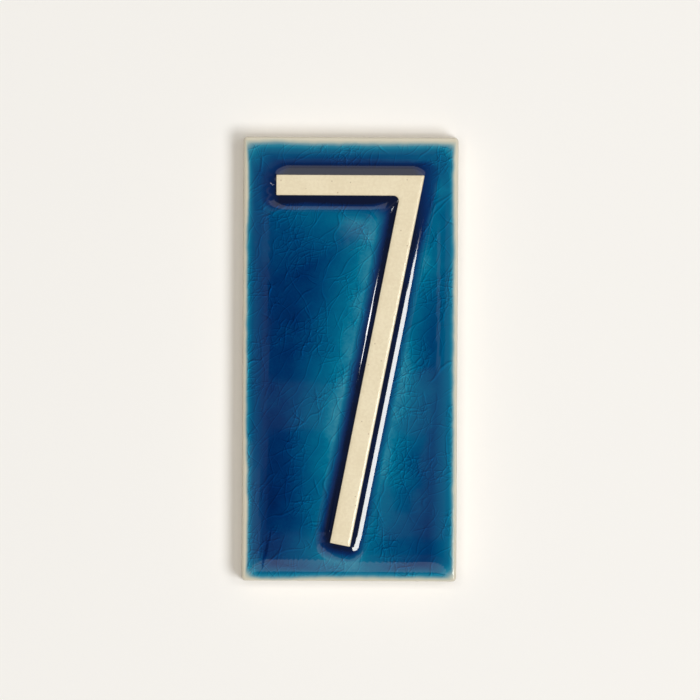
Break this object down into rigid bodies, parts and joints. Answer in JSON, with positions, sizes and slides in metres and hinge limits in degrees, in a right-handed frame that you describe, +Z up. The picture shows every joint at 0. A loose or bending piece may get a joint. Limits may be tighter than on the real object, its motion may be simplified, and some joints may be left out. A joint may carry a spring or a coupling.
{
  "type": "house number plaque",
  "caption": "Upright glazed ceramic house number plaque with a raised bare clay figure seven, pooled blue glaze around it and a flat keyed back that beds on a wall.",
  "frame": {"origin": "centre of the flat back, where the plaque beds on the wall", "axes": "+Z up the plaque, +X to the right of a person who reads it, +Y out of the back into the wall"},
  "size_m": [0.076, 0.0134, 0.157],
  "materials": {
    "glaze": "glossy crackle glaze over a cream clay body, left bare on the figure, the sides and the back"
  },
  "bodies": {
    "root": {"number_tile": "glaze"}
  },
  "joints": []
}
